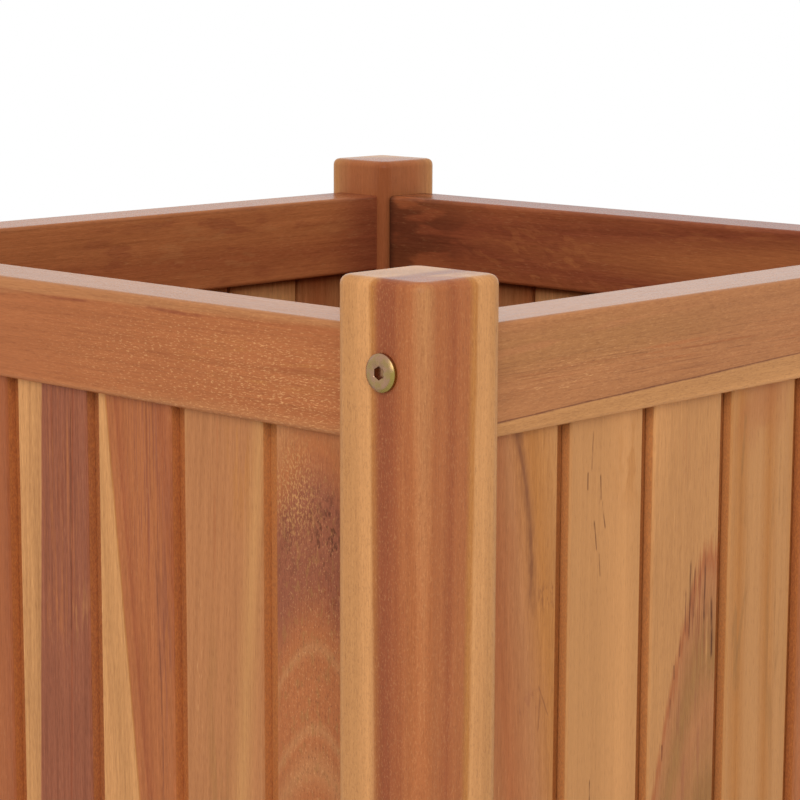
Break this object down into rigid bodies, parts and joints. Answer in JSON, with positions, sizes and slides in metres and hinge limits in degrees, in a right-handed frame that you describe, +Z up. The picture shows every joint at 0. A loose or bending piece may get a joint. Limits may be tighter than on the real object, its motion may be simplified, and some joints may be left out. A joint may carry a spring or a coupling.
{
  "type": "raised garden bed",
  "caption": "Square teak planter box on corner posts, with tongued upright boards between grooved rails, a slatted drain floor and bolted corners.",
  "frame": {"origin": "middle of the ground plan, at the underside of the posts", "axes": "+Z up, -Y out of the front wall, +X towards the right-hand wall seen from the front"},
  "size_m": [0.5, 0.5052, 0.5],
  "materials": {
    "teak_post": "planed, oiled, satin",
    "teak_rail": "planed, oiled, satin",
    "teak_board": "planed, oiled, satin",
    "teak_floor": "sawn and planed, matt",
    "dowel_wood": "fluted, dry",
    "yellow_zinc": "yellow passivated zinc",
    "screw_steel": "plain stainless"
  },
  "bodies": {
    "root": {"front_left_post": "teak_post", "front_right_post": "teak_post", "back_right_post": "teak_post", "back_left_post": "teak_post", "front_top_rail": "teak_rail", "front_bottom_rail": "teak_rail", "front_board_1": "teak_board", "front_board_2": "teak_board", "front_board_3": "teak_board", "front_board_4": "teak_board", "front_board_5": "teak_board", "front_board_6": "teak_board", "front_board_7": "teak_board", "right_top_rail": "teak_rail", "right_bottom_rail": "teak_rail", "right_board_1": "teak_board", "right_board_2": "teak_board", "right_board_3": "teak_board", "right_board_4": "teak_board", "right_board_5": "teak_board", "right_board_6": "teak_board", "right_board_7": "teak_board", "back_top_rail": "teak_rail", "back_bottom_rail": "teak_rail", "back_board_1": "teak_board", "back_board_2": "teak_board", "back_board_3": "teak_board", "back_board_4": "teak_board", "back_board_5": "teak_board", "back_board_6": "teak_board", "back_board_7": "teak_board", "left_top_rail": "teak_rail", "left_bottom_rail": "teak_rail", "left_board_1": "teak_board", "left_board_2": "teak_board", "left_board_3": "teak_board", "left_board_4": "teak_board", "left_board_5": "teak_board", "left_board_6": "teak_board", "left_board_7": "teak_board", "front_cleat": "teak_floor", "back_cleat": "teak_floor", "floor_slat_1": "teak_floor", "floor_slat_2": "teak_floor", "floor_slat_3": "teak_floor", "floor_slat_4": "teak_floor", "floor_slat_5": "teak_floor", "floor_slat_6": "teak_floor", "connector_bolts": "yellow_zinc", "insert_nuts": "yellow_zinc", "panel_dowels": "dowel_wood", "locating_dowels": "dowel_wood", "slat_screws": "screw_steel", "cleat_screws": "screw_steel"}
  },
  "joints": []
}
